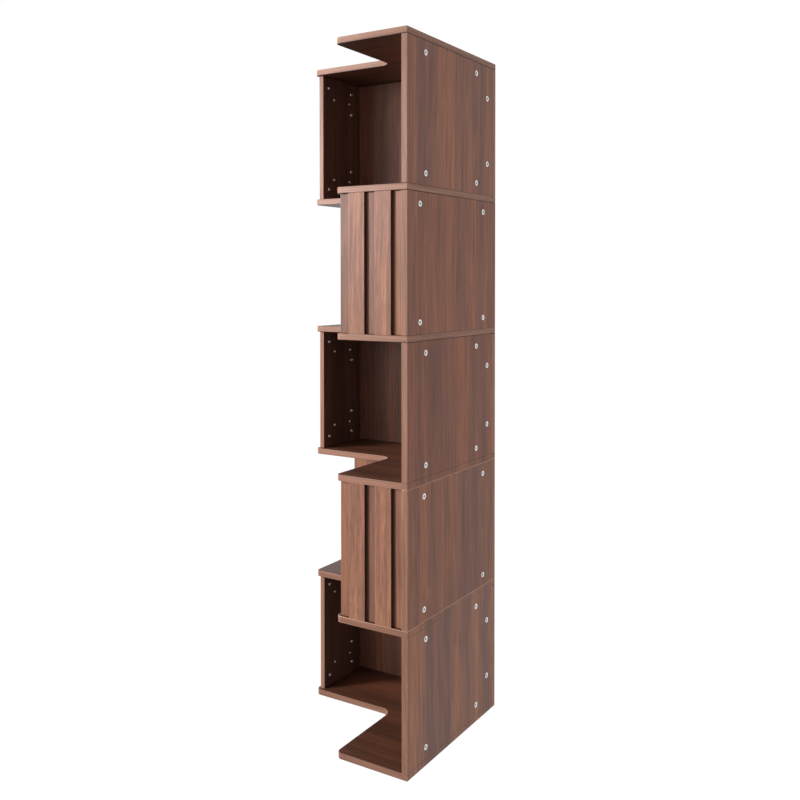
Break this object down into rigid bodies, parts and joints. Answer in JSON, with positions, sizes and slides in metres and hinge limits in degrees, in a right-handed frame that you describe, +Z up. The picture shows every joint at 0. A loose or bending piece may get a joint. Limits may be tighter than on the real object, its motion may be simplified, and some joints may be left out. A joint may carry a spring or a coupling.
{
  "type": "corner shelving unit",
  "caption": "Tall open corner shelving unit: L-shaped boards stacked on upright side and back panels, each tier closed at one end by a slatted screen, held by cam locks.",
  "frame": {"origin": "middle of the unit's floor square, on the floor under the bottom board's corner square", "axes": "+Z up, +Y towards the wall behind the back panels, +X towards the wall beside the side panels; the arms end at -X and -Y"},
  "size_m": [0.47, 0.47, 1.8],
  "materials": {
    "board": "dark walnut grain laminate on 16 mm board, satin, with a thin banded edge",
    "slat": "walnut grain laminate, a little lighter than the boards, satin",
    "cam_lock": "zinc-plated diecast drum with a cross recess, slightly dull"
  },
  "bodies": {
    "root": {"top_board": "board", "second_board": "board", "third_board": "board", "fourth_board": "board", "fifth_board": "board", "bottom_board": "board", "tier1_side_panel": "board", "tier1_back_panel": "board", "tier1_screen_panel": "board", "tier1_slat_1": "slat", "tier1_slat_2": "slat", "tier1_cam_top_front": "cam_lock", "tier1_cam_top_rear": "cam_lock", "tier1_cam_bottom_front": "cam_lock", "tier1_cam_bottom_rear": "cam_lock", "tier1_cam_upper_joint": "cam_lock", "tier1_cam_lower_joint": "cam_lock", "tier2_side_panel": "board", "tier2_back_panel": "board", "tier2_screen_panel": "board", "tier2_slat_1": "slat", "tier2_slat_2": "slat", "tier2_cam_top_front": "cam_lock", "tier2_cam_top_rear": "cam_lock", "tier2_cam_bottom_front": "cam_lock", "tier2_cam_bottom_rear": "cam_lock", "tier3_side_panel": "board", "tier3_back_panel": "board", "tier3_screen_panel": "board", "tier3_slat_1": "slat", "tier3_slat_2": "slat", "tier3_cam_top_front": "cam_lock", "tier3_cam_top_rear": "cam_lock", "tier3_cam_bottom_front": "cam_lock", "tier3_cam_bottom_rear": "cam_lock", "tier3_cam_upper_joint": "cam_lock", "tier3_cam_lower_joint": "cam_lock", "tier4_side_panel": "board", "tier4_back_panel": "board", "tier4_screen_panel": "board", "tier4_slat_1": "slat", "tier4_slat_2": "slat", "tier4_cam_top_front": "cam_lock", "tier4_cam_top_rear": "cam_lock", "tier4_cam_bottom_front": "cam_lock", "tier4_cam_bottom_rear": "cam_lock", "tier5_side_panel": "board", "tier5_back_panel": "board", "tier5_screen_panel": "board", "tier5_slat_1": "slat", "tier5_slat_2": "slat", "tier5_cam_top_front": "cam_lock", "tier5_cam_top_rear": "cam_lock", "tier5_cam_bottom_front": "cam_lock", "tier5_cam_bottom_rear": "cam_lock", "tier5_cam_upper_joint": "cam_lock", "tier5_cam_lower_joint": "cam_lock"}
  },
  "joints": []
}
